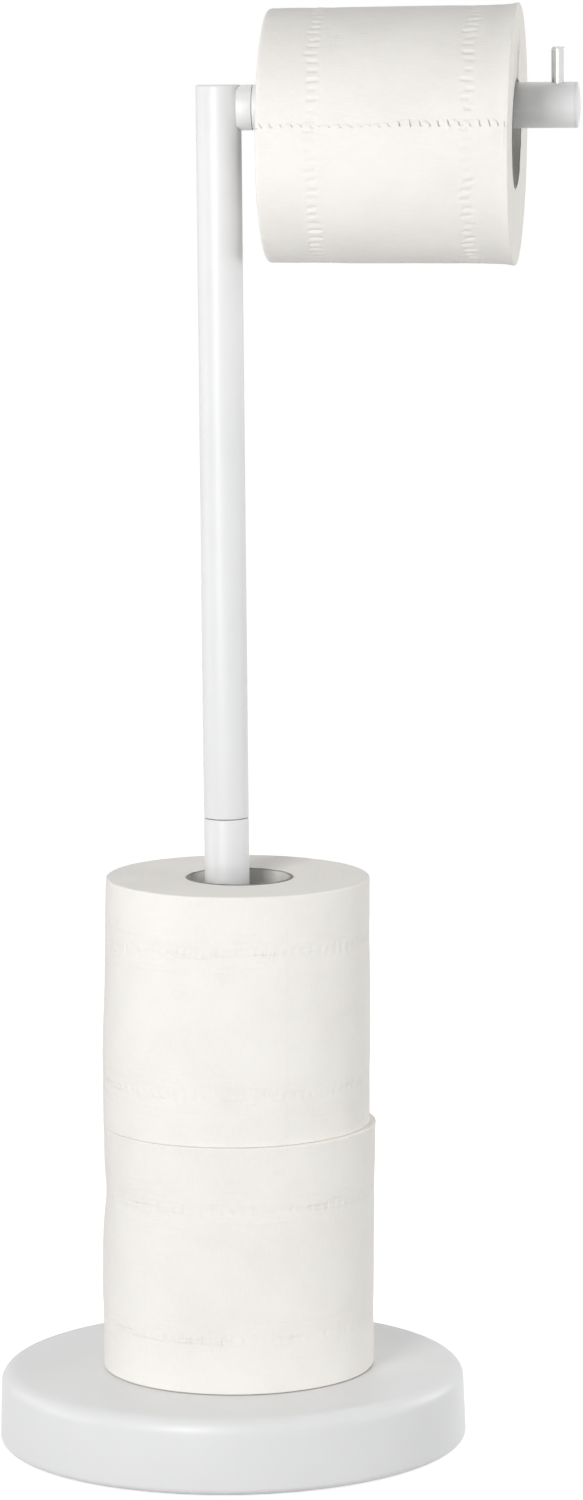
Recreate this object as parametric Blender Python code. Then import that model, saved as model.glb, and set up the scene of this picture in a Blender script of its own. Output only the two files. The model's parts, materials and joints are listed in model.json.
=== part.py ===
# Free-standing toilet paper stand: weighted round base, two screwed post tubes, level arm with
# an end pin, one roll hanging on the arm and two spare rolls on the post.
# Lengths are in metres, +Z is up, the arm points along +X, the origin is on the floor under the post.

import math

import bmesh
import bpy

# Clearances
seat_gap = 0.0003
weld = 0.000001
cut_overrun = 0.002

# Base
base_diameter = 0.200
base_height = 0.0325
base_draft = 0.0008
base_edge_radius = 0.0065
base_foot_radius = 0.003
cover_wall = 0.0012
cover_lift = 0.0008
pad_thickness = 0.002
pad_margin = 0.0015
disc_chamfer = 0.0004
plate_thickness = 0.0015
plate_screw_diameter = 0.004
plate_screw_length = 0.012
plate_screw_circle_share = 0.72
plate_screw_head_share = 1.9
plate_screw_count = 3

# Base bolt, post stud and their plugs
base_bolt_diameter = 0.008
base_bolt_reach = 0.018
bolt_chamfer_share = 0.12
hex_flats_share = 1.625
hex_height_share = 0.66
washer_outer_share = 2.0
washer_thickness = 0.0016
stud_diameter = 0.008
stud_reach = 0.018
plug_length = 0.024
plug_chamfer = 0.0006

# Post and arm tubes
tube_diameter = 0.019
tube_wall = 0.0012
tube_end_chamfer = 0.0003
lower_post_length = 0.2362
upper_post_length = 0.308
post_top_rounding = 0.0009
top_cap_thickness = 0.003
neck_length = 0.0047
neck_tip_reach = 0.0014
neck_rounding = 0.0004
arm_bolt_share = 0.3
arm_bolt_grip = 0.0165
saddle_washer_thickness = 0.0026
saddle_washer_share = 2.1

# Arm end and pin
roll_to_pin = 0.0159
pin_to_end = 0.0082
end_cap_rim = 0.0008
end_cap_rounding = 0.0005
end_cap_dome = 0.0009
pin_diameter = 0.006
pin_height = 0.0151
pin_rounding = 0.0023
pin_tail_share = 0.66
pin_tail_length = 0.010

# Rolls
roll_length = 0.105
core_bore = 0.0432
core_wall = 0.001
hanging_roll_diameter = 0.1078
hanging_roll_taper = 0.0011
lower_spare_diameter = 0.1162
upper_spare_diameter = 0.1134
sheet_step = 0.0005
sheet_edge_width = 0.0004
roll_edge_radius = 0.0018
neck_to_roll = 0.0066
lower_spare_shift_shares = (0.30, 0.06)
upper_spare_shift_shares = (0.31, 0.10)
hanging_seam_degrees = 266.6
lower_spare_seam_degrees = 118.0
upper_spare_seam_degrees = 62.0

# Facets of the round pieces
base_segments = 72
disc_segments = 48
tube_segments = 36
roll_segments = 60
core_segments = 40
small_segments = 20
screw_segments = 14

# Heights and reaches that follow
base_radius = base_diameter / 2
rim_radius = base_radius - base_draft
lip_radius = base_radius - base_foot_radius
disc_radius = lip_radius - seat_gap
plate_bottom = pad_thickness + seat_gap
plate_top = plate_bottom + plate_thickness
weight_bottom = plate_top + seat_gap
weight_top = base_height - cover_wall - seat_gap

base_bolt_radius = base_bolt_diameter / 2
base_head_height = base_bolt_diameter * hex_height_share
base_head_top = weight_bottom + base_head_height
base_washer_bottom = base_head_top + seat_gap
base_washer_radius = base_bolt_radius * washer_outer_share
counterbore_top = base_washer_bottom + washer_thickness + seat_gap

tube_radius = tube_diameter / 2
bore_radius = tube_radius - tube_wall
plug_radius = bore_radius - seat_gap
lower_post_bottom = base_height + seat_gap
lower_post_top = lower_post_bottom + lower_post_length
upper_post_bottom = lower_post_top + seat_gap
post_top = upper_post_bottom + upper_post_length
arm_height = post_top - tube_radius

neck_start = tube_radius - neck_tip_reach
neck_end = tube_radius + neck_length
arm_start = neck_end + seat_gap
roll_start = neck_end + neck_to_roll
roll_end = roll_start + roll_length
pin_place = roll_end + roll_to_pin
arm_end = pin_place + pin_to_end
arm_tube_end = arm_end - end_cap_rim - seat_gap

arm_bolt_diameter = 2 * bore_radius * arm_bolt_share
arm_bolt_radius = arm_bolt_diameter / 2
saddle_face = plug_radius - saddle_washer_thickness
arm_head_face = saddle_face - seat_gap

pin_radius = pin_diameter / 2
end_plug_start = pin_place - pin_radius - pin_diameter
pin_tail_radius = pin_radius * pin_tail_share
pin_shoulder = arm_height + bore_radius
pin_top = post_top + pin_height

core_radius = core_bore / 2
core_outer_radius = core_radius + core_wall
paper_bore_radius = core_outer_radius + seat_gap
post_play = core_radius - tube_radius - seat_gap
hanging_roll_height = arm_height - post_play
lower_spare_bottom = base_height + seat_gap
upper_spare_bottom = lower_spare_bottom + roll_length + seat_gap


def clear_scene():
    for old in list(bpy.data.objects):
        bpy.data.objects.remove(old, do_unlink=True)


def finish(name, colour, roughness, metallic=0.0, coat=0.0):
    material = bpy.data.materials.new(name)
    material.use_nodes = True
    shader = material.node_tree.nodes["Principled BSDF"]
    shader.inputs["Base Color"].default_value = (*colour, 1.0)
    shader.inputs["Roughness"].default_value = roughness
    shader.inputs["Metallic"].default_value = metallic
    shader.inputs["Coat Weight"].default_value = coat
    material.diffuse_color = (*colour, 1.0)
    return material


def white_lacquer(name):
    return finish(name, (0.82, 0.82, 0.83), 0.32, coat=0.3)


def zinc_steel(name):
    return finish(name, (0.62, 0.63, 0.65), 0.35, metallic=1.0)


def polished_steel(name):
    return finish(name, (0.74, 0.74, 0.73), 0.12, metallic=1.0)


def cement(name):
    return finish(name, (0.42, 0.41, 0.39), 0.9)


def rubber(name):
    return finish(name, (0.06, 0.06, 0.065), 0.85)


def nylon(name):
    return finish(name, (0.75, 0.75, 0.74), 0.5)


def tissue(name):
    return finish(name, (0.87, 0.85, 0.81), 0.95)


def cardboard(name):
    return finish(name, (0.45, 0.43, 0.40), 0.9)


def arc(centre_r, centre_z, radius, start, end, steps):
    """Points from one angle to the other, in degrees, round a centre of the half section."""
    turns = [math.radians(start + (end - start) * step / steps) for step in range(steps + 1)]
    return [(centre_r + radius * math.cos(t), centre_z + radius * math.sin(t)) for t in turns]


def add_object(name, mesh_data, material):
    mesh = bpy.data.meshes.new(name)
    mesh_data.to_mesh(mesh)
    mesh_data.free()
    mesh.shade_smooth()
    mesh.set_sharp_from_angle(angle=math.radians(32))
    obj = bpy.data.objects.new(name, mesh)
    if material:
        mesh.materials.append(material(name))
    bpy.context.scene.collection.objects.link(obj)
    return obj


def turned(name, profile, material, segments, location=(0, 0, 0), along_x=False):
    """Spins a half section of (radius, height) points: solid if it starts on the axis, else a ring."""
    work = bmesh.new()
    points = [work.verts.new((r, 0, z)) for r, z in profile]
    edges = [work.edges.new(pair) for pair in zip(points, points[1:])]
    if profile[0][0] > 0:
        edges.append(work.edges.new((points[-1], points[0])))
    bmesh.ops.spin(
        work, geom=points + edges, axis=(0, 0, 1), angle=2 * math.pi, steps=segments, use_merge=True
    )
    bmesh.ops.remove_doubles(work, verts=work.verts, dist=weld)
    bmesh.ops.recalc_face_normals(work, faces=work.faces)
    obj = add_object(name, work, material)
    obj.location = location
    if along_x:
        obj.rotation_euler = (0, math.radians(90), 0)
    return obj


def ring(inner, outer, bottom, top, chamfer=0.0):
    """Half section of a sleeve or washer, its outer corners taken off where a chamfer is given."""
    if not chamfer:
        return [(inner, bottom), (outer, bottom), (outer, top), (inner, top)]
    return [
        (inner, bottom),
        (outer - chamfer, bottom),
        (outer, bottom + chamfer),
        (outer, top - chamfer),
        (outer - chamfer, top),
        (inner, top),
    ]


def rod(radius, bottom, top, chamfer=0.0):
    """Half section of a solid bar, its corners taken off where a chamfer is given."""
    if not chamfer:
        return [(0, bottom), (radius, bottom), (radius, top), (0, top)]
    return [
        (0, bottom),
        (radius - chamfer, bottom),
        (radius, bottom + chamfer),
        (radius, top - chamfer),
        (radius - chamfer, top),
        (0, top),
    ]


def combine(target, tool, operation):
    """A Boolean with a tool object that stays as a guide and isn't part of the model."""
    tool.hide_render = True
    tool.display_type = "WIRE"
    boolean = target.modifiers.new(tool.name, "BOOLEAN")
    boolean.operation = operation
    boolean.solver = "EXACT"
    boolean.object = tool


def drill(target, radius, bottom, top, location, along_x=False):
    profile = rod(radius, bottom, top)
    tool = turned(target.name + "_drill", profile, None, small_segments, location, along_x)
    combine(target, tool, "DIFFERENCE")


def hex_bolt(name, diameter, grip, location, along_x=False):
    """A hexagon bolt whose head's bearing face is at its location and whose shank runs on from there."""
    radius = diameter / 2
    head_height = diameter * hex_height_share
    corner_radius = diameter * hex_flats_share / math.sqrt(3)
    work = bmesh.new()
    bmesh.ops.create_cone(
        work, cap_ends=True, segments=6, radius1=corner_radius, radius2=corner_radius, depth=head_height
    )
    bmesh.ops.translate(work, verts=work.verts, vec=(0, 0, -head_height / 2))
    bolt = add_object(name, work, zinc_steel)
    bolt.location = location
    shank_profile = rod(radius, -head_height / 2, grip, diameter * bolt_chamfer_share)
    shank = turned(name + "_shank", shank_profile, None, small_segments, location, along_x)
    if along_x:
        bolt.rotation_euler = (0, math.radians(90), 0)
    combine(bolt, shank, "UNION")
    return bolt


def base_cover():
    edge_r, edge_z = rim_radius - base_edge_radius, base_height - base_edge_radius
    foot_z = cover_lift + base_foot_radius
    hole_radius = base_bolt_radius + seat_gap
    outside = arc(edge_r, edge_z, base_edge_radius, 90, 0, 5)
    outside += arc(lip_radius, foot_z, base_foot_radius, 0, -90, 3)
    inside = arc(lip_radius, foot_z, base_foot_radius - cover_wall, -90, 0, 2)
    inside += arc(edge_r, edge_z, base_edge_radius - cover_wall, 0, 90, 3)
    profile = [(hole_radius, base_height), *outside, *inside, (hole_radius, base_height - cover_wall)]
    return turned("base_cover", profile, white_lacquer, base_segments)


def base_weight():
    bevel = base_edge_radius - cover_wall
    hole_radius = base_bolt_radius + seat_gap
    counterbore_radius = base_washer_radius + seat_gap
    profile = [
        (hole_radius, counterbore_top),
        (counterbore_radius, counterbore_top),
        (counterbore_radius, weight_bottom),
        (disc_radius, weight_bottom),
        (disc_radius, weight_top - bevel),
        (disc_radius - bevel, weight_top),
        (hole_radius, weight_top),
    ]
    return turned("base_weight", profile, cement, disc_segments)


def base_plate():
    profile = rod(disc_radius, plate_bottom, plate_top, disc_chamfer)
    return turned("base_plate", profile, zinc_steel, disc_segments)


def base_pad():
    radius = disc_radius - pad_margin
    profile = [
        (0, 0),
        (radius - disc_chamfer, 0),
        (radius, disc_chamfer),
        (radius, pad_thickness),
        (0, pad_thickness),
    ]
    return turned("base_pad", profile, rubber, disc_segments)


def screw_profile(growth=0.0):
    """Half section of a countersunk screw, head down, grown by a clearance where it cuts its hole."""
    shank = plate_screw_diameter / 2 + growth
    head = plate_screw_diameter / 2 * plate_screw_head_share + growth
    tip = plate_bottom + plate_screw_length + growth
    outline = [(head, plate_bottom), (shank, plate_bottom + head - shank), (shank, tip), (0, tip)]
    if growth:
        return [(0, plate_bottom - growth), (head, plate_bottom - growth), *outline]
    return [(0, plate_bottom), *outline]


def base_fixings(weight, plate):
    """Countersunk screws up through the plate into the weight, then the post's bolt and its washer."""
    circle = disc_radius * plate_screw_circle_share
    for number in range(plate_screw_count):
        turn = 2 * math.pi * (number + 0.5) / plate_screw_count
        place = (circle * math.cos(turn), circle * math.sin(turn), 0)
        turned(f"base_plate_screw_{number + 1}", screw_profile(), zinc_steel, screw_segments, place)
        for drilled in (plate, weight):
            hole = turned("screw_hole", screw_profile(seat_gap), None, screw_segments, place)
            combine(drilled, hole, "DIFFERENCE")
    washer_profile = ring(base_bolt_radius + seat_gap, base_washer_radius, 0, washer_thickness)
    turned("base_bolt_washer", washer_profile, zinc_steel, small_segments, (0, 0, base_washer_bottom))
    grip = base_height + base_bolt_reach - base_head_top
    hex_bolt("base_bolt", base_bolt_diameter, grip, (0, 0, base_head_top))


def threaded_plug(name, bore, bottom, location=(0, 0, 0), along_x=False):
    """A sleeve that fills a tube's end and takes a bolt or stud in its bore."""
    profile = ring(bore + seat_gap, plug_radius, bottom, bottom + plug_length, plug_chamfer)
    return turned(name, profile, nylon, small_segments, location, along_x)


def tube_profile(bottom, top, bottom_chamfer, top_chamfer):
    """Half section of a tube of the stand's one size, its outer end corners taken off."""
    return [
        (bore_radius, bottom),
        (tube_radius - bottom_chamfer, bottom),
        (tube_radius, bottom + bottom_chamfer),
        (tube_radius, top - top_chamfer),
        (tube_radius - top_chamfer, top),
        (bore_radius, top),
    ]


def lower_post():
    profile = tube_profile(lower_post_bottom, lower_post_top, tube_end_chamfer, tube_end_chamfer)
    turned("lower_post", profile, white_lacquer, tube_segments)
    threaded_plug("lower_post_foot_plug", base_bolt_radius, lower_post_bottom)
    threaded_plug("lower_post_top_plug", stud_diameter / 2, lower_post_top - plug_length)


def upper_post():
    round_r, round_z = tube_radius - post_top_rounding, post_top - post_top_rounding
    profile = [
        (bore_radius, upper_post_bottom),
        (tube_radius - tube_end_chamfer, upper_post_bottom),
        (tube_radius, upper_post_bottom + tube_end_chamfer),
        *arc(round_r, round_z, post_top_rounding, 0, 90, 3),
        (bore_radius, post_top),
    ]
    post = turned("upper_post", profile, white_lacquer, tube_segments)
    drill(post, arm_bolt_radius + seat_gap, 0, neck_end, (0, 0, arm_height), along_x=True)
    cap_profile = [
        (0, post_top - top_cap_thickness),
        (plug_radius, post_top - top_cap_thickness),
        (plug_radius, post_top - tube_end_chamfer),
        (plug_radius - tube_end_chamfer, post_top),
        (0, post_top),
    ]
    stud_radius = stud_diameter / 2
    stud_bottom, stud_top = upper_post_bottom - stud_reach, upper_post_bottom + stud_reach
    stud_profile = rod(stud_radius, stud_bottom, stud_top, stud_diameter * bolt_chamfer_share)
    return [
        post,
        turned("post_top_cap", cap_profile, white_lacquer, tube_segments),
        threaded_plug("upper_post_foot_plug", stud_radius, upper_post_bottom),
        turned("post_stud", stud_profile, zinc_steel, small_segments),
    ]


def arm_neck():
    """A short spacer, hollowed to the post's round, so its two tips reach back past the post's side."""
    hole = arm_bolt_radius + seat_gap
    profile = [
        (hole, neck_start),
        (tube_radius, neck_start),
        (tube_radius, neck_end - neck_rounding),
        (tube_radius - neck_rounding, neck_end),
        (hole, neck_end),
    ]
    neck = turned("arm_neck", profile, white_lacquer, tube_segments, (0, 0, arm_height), along_x=True)
    post_outline = rod(tube_radius + seat_gap, arm_height - tube_diameter, arm_height + tube_diameter)
    combine(neck, turned("neck_hollow", post_outline, None, tube_segments), "DIFFERENCE")
    return neck


def saddle_washer():
    """A block under the arm bolt's head, flat on that side and round on the post's side."""
    outer_radius = arm_bolt_radius * saddle_washer_share
    profile = ring(arm_bolt_radius + seat_gap, outer_radius, saddle_face, tube_radius)
    place = (0, 0, arm_height)
    washer = turned("arm_bolt_washer", profile, zinc_steel, small_segments, place, along_x=True)
    bore_outline = rod(plug_radius, arm_height - tube_diameter, arm_height + tube_diameter)
    combine(washer, turned("saddle_outline", bore_outline, None, tube_segments), "INTERSECT")
    return washer


def arm_end_cap():
    """A plug inside the arm's end with a thin, slightly domed face, drilled for the pin's tail."""
    rim_start = arm_end - end_cap_rim
    dome_radius = (tube_radius**2 + end_cap_dome**2) / (2 * end_cap_dome)
    dome_angle = math.degrees(math.asin((tube_radius - end_cap_rounding) / dome_radius))
    dome_centre = arm_end + end_cap_dome - dome_radius
    profile = [
        (0, end_plug_start),
        (plug_radius - plug_chamfer, end_plug_start),
        (plug_radius, end_plug_start + plug_chamfer),
        (plug_radius, rim_start),
        (tube_radius, rim_start),
        (tube_radius, arm_end - end_cap_rounding),
        *arc(0, dome_centre, dome_radius, 90 - dome_angle, 90, 5)[:-1],
        (0, arm_end + end_cap_dome),
    ]
    cap = turned("arm_end_cap", profile, white_lacquer, tube_segments, (0, 0, arm_height), along_x=True)
    tail_bottom = pin_shoulder - pin_tail_length - seat_gap
    drill(cap, pin_tail_radius + seat_gap, tail_bottom, post_top, (pin_place, 0, 0))
    return cap


def arm_pin():
    """An upright pin with a rounded head; its shoulder sits on the end plug and its tail runs into it."""
    tail_bottom = pin_shoulder - pin_tail_length
    head_r, head_z = pin_radius - pin_rounding, pin_top - pin_rounding
    profile = [
        (0, tail_bottom),
        (pin_tail_radius, tail_bottom),
        (pin_tail_radius, pin_shoulder),
        (pin_radius, pin_shoulder),
        *arc(head_r, head_z, pin_rounding, 0, 90, 4),
        (0, pin_top),
    ]
    return turned("arm_pin", profile, polished_steel, small_segments, (pin_place, 0, 0))


def arm():
    tube = turned(
        "arm_tube",
        tube_profile(arm_start, arm_tube_end, tube_end_chamfer, 0),
        white_lacquer,
        tube_segments,
        (0, 0, arm_height),
        along_x=True,
    )
    drill(tube, pin_radius + seat_gap, arm_height, post_top + cut_overrun, (pin_place, 0, 0))
    bolt_place = (arm_head_face, 0, arm_height)
    bolt_reach = arm_start + arm_bolt_grip - arm_head_face
    return [
        tube,
        arm_neck(),
        threaded_plug("arm_root_plug", arm_bolt_radius, arm_start, (0, 0, arm_height), along_x=True),
        hex_bolt("arm_bolt", arm_bolt_diameter, bolt_reach, bolt_place, along_x=True),
        saddle_washer(),
        arm_end_cap(),
        arm_pin(),
    ]


def wound_paper(name, diameter, taper, seam_degrees, location, along_x=False):
    """Paper wound on a core: it shrinks by a sheet in one turn, so a step marks the sheet's end."""
    radius = diameter / 2
    sweep = 2 * math.pi - sheet_edge_width / radius
    soft_rim = arc(-roll_edge_radius, roll_edge_radius, roll_edge_radius, -90, 0, 3)
    outer_rows = soft_rim + [(inset, roll_length - height) for inset, height in reversed(soft_rim)]
    rows = [(None, 0), *outer_rows, (None, roll_length)]
    work = bmesh.new()
    loops = []
    for inset, height in rows:
        row_radius = radius + (inset or 0) - taper * (1 - height / roll_length)
        loop = []
        for step in range(roll_segments):
            wound_share = step / (roll_segments - 1)
            turn = math.radians(seam_degrees) + sweep * wound_share
            r = paper_bore_radius if inset is None else row_radius - sheet_step * wound_share
            loop.append(work.verts.new((r * math.cos(turn), r * math.sin(turn), height)))
        loops.append(loop)
    for loop, following in zip(loops, loops[1:] + loops[:1]):
        for step in range(roll_segments):
            last = (step + 1) % roll_segments
            work.faces.new((loop[step], loop[last], following[last], following[step]))
    bmesh.ops.recalc_face_normals(work, faces=work.faces)
    paper = add_object(name, work, tissue)
    paper.location = location
    if along_x:
        paper.rotation_euler = (0, math.radians(90), 0)
    return paper


def roll(name, diameter, taper, seam_degrees, location, along_x=False):
    core_profile = ring(core_radius, core_outer_radius, 0, roll_length)
    return [
        wound_paper(name + "_paper", diameter, taper, seam_degrees, location, along_x),
        turned(name + "_core", core_profile, cardboard, core_segments, location, along_x),
    ]


def carried_by(name, place, pieces):
    """An empty on a joint's axis, with the pieces that move on it."""
    axis = bpy.data.objects.new(name, None)
    bpy.context.scene.collection.objects.link(axis)
    axis.location = place
    bpy.context.view_layer.update()
    for piece in pieces:
        piece.parent = axis
        piece.matrix_parent_inverse = axis.matrix_world.inverted()


def hanging_roll():
    place = (roll_start, 0, hanging_roll_height)
    sizes = (hanging_roll_diameter, hanging_roll_taper, hanging_seam_degrees)
    pieces = roll("hanging_roll", *sizes, place, along_x=True)
    carried_by("hanging_roll_axis", place, pieces)


def spare_roll(name, diameter, seam_degrees, shift_shares, bottom):
    """A roll that stands on the base or on another roll, pushed sideways by shares of its play."""
    shift_x, shift_y = (post_play * share for share in shift_shares)
    place = (shift_x, shift_y, bottom)
    carried_by(name + "_axis", place, roll(name, diameter, 0, seam_degrees, place))


def spare_rolls():
    lower = ("lower_spare", lower_spare_diameter, lower_spare_seam_degrees)
    upper = ("upper_spare", upper_spare_diameter, upper_spare_seam_degrees)
    spare_roll(*lower, lower_spare_shift_shares, lower_spare_bottom)
    spare_roll(*upper, upper_spare_shift_shares, upper_spare_bottom)


def build_stand():
    clear_scene()
    base_cover()
    base_pad()
    base_fixings(base_weight(), base_plate())
    lower_post()
    carried_by("upper_stand_axis", (0, 0, upper_post_bottom), upper_post() + arm())
    hanging_roll()
    spare_rolls()


build_stand()
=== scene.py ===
import json
import math

import bmesh
import bpy
import numpy as np
from mathutils import Matrix, Vector


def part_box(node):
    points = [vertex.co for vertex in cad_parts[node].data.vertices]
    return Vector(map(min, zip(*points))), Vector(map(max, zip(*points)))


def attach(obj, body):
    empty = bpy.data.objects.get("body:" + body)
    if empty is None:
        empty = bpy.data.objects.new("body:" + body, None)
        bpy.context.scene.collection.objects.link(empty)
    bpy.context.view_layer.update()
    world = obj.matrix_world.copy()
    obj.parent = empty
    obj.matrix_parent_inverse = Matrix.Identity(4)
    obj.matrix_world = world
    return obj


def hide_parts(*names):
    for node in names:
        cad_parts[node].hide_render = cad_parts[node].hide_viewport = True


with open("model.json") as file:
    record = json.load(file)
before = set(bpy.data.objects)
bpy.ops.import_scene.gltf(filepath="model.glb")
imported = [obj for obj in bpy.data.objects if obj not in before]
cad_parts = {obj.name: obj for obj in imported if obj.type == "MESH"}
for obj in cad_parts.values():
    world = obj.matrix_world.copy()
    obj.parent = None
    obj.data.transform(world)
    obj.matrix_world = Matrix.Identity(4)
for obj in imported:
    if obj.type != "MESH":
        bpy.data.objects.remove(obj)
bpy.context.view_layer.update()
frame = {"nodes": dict(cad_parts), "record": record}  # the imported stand: each node sits at the origin with its place in its mesh

fullTurn = 2 * math.pi
upward = Vector((0, 0, 1))
alongArm = Vector((1, 0, 0))
backward = Vector((0, 1, 0))


# Camera, world, lamps and floor

cameraView = {
    "place": (0.2491, -2.2457, 0.5977),  # metres
    "turn": 5.6234,  # degrees round Z, 0 looks along +Y
    "lookDown": 7.5666,
    "roll": -0.5503,
    "lens": 129.25,
    "sensor": 36,
    "farthest": 100,
}


def addCamera():
    data = bpy.data.cameras.new("photoView")
    data.sensor_fit = "VERTICAL"
    data.sensor_height = cameraView["sensor"]
    data.lens = cameraView["lens"]
    data.clip_end = cameraView["farthest"]
    camera = bpy.data.objects.new("photoView", data)
    bpy.context.scene.collection.objects.link(camera)
    turn = Matrix.Rotation(math.radians(cameraView["turn"]), 4, "Z")
    tip = Matrix.Rotation(math.radians(90 - cameraView["lookDown"]), 4, "X")
    roll = Matrix.Rotation(math.radians(cameraView["roll"]), 4, "Z")
    camera.matrix_world = Matrix.Translation(cameraView["place"]) @ turn @ tip @ roll
    bpy.context.scene.camera = camera


# Shader building: sums on a Wire add Math nodes, Paint.node adds any other node


class Wire:
    def __init__(self, paint, socket):
        self.paint = paint
        self.socket = socket

    def calc(self, operation, *values):
        return self.paint.node("Math", dict(enumerate(values)), operation=operation)

    def __add__(self, other):
        return self.calc("ADD", self, other)

    def __radd__(self, other):
        return self.calc("ADD", other, self)

    def __sub__(self, other):
        return self.calc("SUBTRACT", self, other)

    def __rsub__(self, other):
        return self.calc("SUBTRACT", other, self)

    def __mul__(self, other):
        return self.calc("MULTIPLY", self, other)

    def __rmul__(self, other):
        return self.calc("MULTIPLY", other, self)

    def __truediv__(self, other):
        return self.calc("DIVIDE", self, other)

    def wave(self):
        return self.calc("SINE", self)

    def fraction(self):
        return self.calc("FRACT", self)

    def size(self):
        return self.calc("ABSOLUTE", self)

    def larger(self, other):
        return self.calc("MAXIMUM", self, other)

    def between(self, low, high):
        # 0 at low, 1 at high, a smooth step on the way; low may be the larger one
        sockets = {"Value": self, "From Min": low, "From Max": high}
        return self.paint.node("MapRange", sockets, interpolation_type="SMOOTHSTEP", clamp=True)

    def over(self, start, spread):
        return start + spread * self


class Paint:
    # draws the nodes of a material or of the world
    def __init__(self, owner):
        owner.use_nodes = True
        self.owner = owner
        self.tree = owner.node_tree

    def node(self, kind, sockets=None, out=0, **settings):
        added = self.tree.nodes.new("ShaderNode" + kind)
        for key, value in settings.items():
            setattr(added, key, value)
        for key, value in (sockets or {}).items():
            self.feed(added.inputs[key], value)
        return Wire(self, added.outputs[out])

    def feed(self, socket, value):
        if isinstance(value, Wire):
            self.tree.links.new(value.socket, socket)
        elif socket.type == "RGBA" and len(value) == 3:
            socket.default_value = (*value, 1)
        else:
            socket.default_value = value

    def place(self):
        return self.node("TexCoord", out="Object")

    def attribute(self, name):
        return self.node("Attribute", out="Fac", attribute_name=name)

    def wrap(self):
        return self.node("UVMap", uv_map="wrap")

    def stretched(self, vector, scale):
        return self.node("Mapping", {"Vector": vector, "Scale": scale})

    def noise(self, vector, scale, detail, roughness, distortion=0.0):
        sockets = {"Vector": vector, "Scale": scale, "Detail": detail, "Roughness": roughness}
        sockets["Distortion"] = distortion
        return self.node("TexNoise", sockets, noise_dimensions="3D")

    def cells(self, vector, scale, feature="F1"):
        return self.node("TexVoronoi", {"Vector": vector, "Scale": scale}, feature=feature)

    def pattern(self, place, scale, *noise):
        # noise if its detail and roughness follow the scale, and cells otherwise
        if isinstance(scale, tuple):
            place, scale = self.stretched(place, scale), 1.0
        return self.noise(place, scale, *noise) if noise else self.cells(place, scale)

    def grains(self, wrap, size):
        # the wrap map counted in grains of this width and height
        wide, tall = size
        return self.stretched(wrap, (1 / wide, 1 / tall, 1))

    def grainNoise(self, wrap, size, detail, roughness, distortion=0.0):
        return self.noise(self.grains(wrap, size), 1.0, detail, roughness, distortion)

    def mixed(self, share, first, second):
        # socket 0 is the factor of the colour mix, 6 and 7 are its two colours
        return self.node("Mix", {0: share, 6: first, 7: second}, out=2, data_type="RGBA")

    def split(self, vector):
        parts = self.node("SeparateXYZ", {0: vector}).socket.node
        return [Wire(self, output) for output in parts.outputs]

    def relief(self, height, depth, under=None):
        # bump from a 0 to 1 height, with its depth in metres, on top of another bump
        sockets = {"Height": height, "Distance": depth}
        if under:
            sockets["Normal"] = under
        return self.node("Bump", sockets)

    def finish(self, **values):
        shader = self.tree.nodes["Principled BSDF"]
        for key, value in values.items():
            self.feed(shader.inputs[key.replace("_", " ")], value)
        return self.owner


def newPaint(name):
    return Paint(bpy.data.materials.new(name))


studio = {
    "floorSize": 60,
    "floorDrop": 0.0002,  # keeps the floor clear of the pad's underside
    "floorBounce": (0.6, 0.6, 0.6),  # what the object sees of the floor
    "floorGlow": 0.86,  # with the tint below, the lit floor shows as white and keeps its shadow
    "floorTint": (0.45, 0.45, 0.45),
    "sky": (0.995, 0.997, 1.0),
    "skyTop": 0.442,  # strength overhead, and at the horizon below
    "skySide": 0.0,
    "skyTopHeight": 0.9,
    "showWhite": 1.0,
}


def seenDirectly(paint):
    # 1 where the camera, a mirror or a clear surface looks, 0 for light on its way to the object
    rays = paint.node("LightPath").socket.node
    kinds = ("Is Camera Ray", "Is Glossy Ray", "Is Transmission Ray")
    camera, glossy, clear = (Wire(paint, rays.outputs[kind]) for kind in kinds)
    return camera.larger(glossy).larger(clear)


def addFloor():
    bpy.ops.object.select_all(action="DESELECT")
    bpy.ops.mesh.primitive_plane_add(size=studio["floorSize"], location=(0, 0, -studio["floorDrop"]))
    floor = bpy.context.object
    floor.name = "studio_floor"
    paint = newPaint("palePaperFloor")
    shown = paint.node("BsdfDiffuse", {"Color": studio["floorTint"]})
    light = paint.node("Emission", {"Color": (1, 1, 1), "Strength": studio["floorGlow"]})
    bright = paint.node("AddShader", {0: shown, 1: light})
    plain = paint.node("BsdfDiffuse", {"Color": studio["floorBounce"]})
    both = paint.node("MixShader", {0: seenDirectly(paint), 1: plain, 2: bright})
    paint.feed(paint.tree.nodes["Material Output"].inputs["Surface"], both)
    floor.data.materials.append(paint.owner)


def addWorld():
    world = bpy.data.worlds.new("softStudio")
    bpy.context.scene.world = world
    paint = Paint(world)
    height = paint.split(paint.node("TexCoord", out="Generated"))[2]
    top, side = studio["skyTop"], studio["skySide"]
    level = side + (top - side) * height.between(0, studio["skyTopHeight"])
    soft = paint.node("Background", {"Color": studio["sky"], "Strength": level})
    white = paint.node("Background", {"Color": (1, 1, 1), "Strength": studio["showWhite"]})
    both = paint.node("MixShader", {0: seenDirectly(paint), 1: soft, 2: white})
    paint.feed(paint.tree.nodes["World Output"].inputs["Surface"], both)


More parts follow.
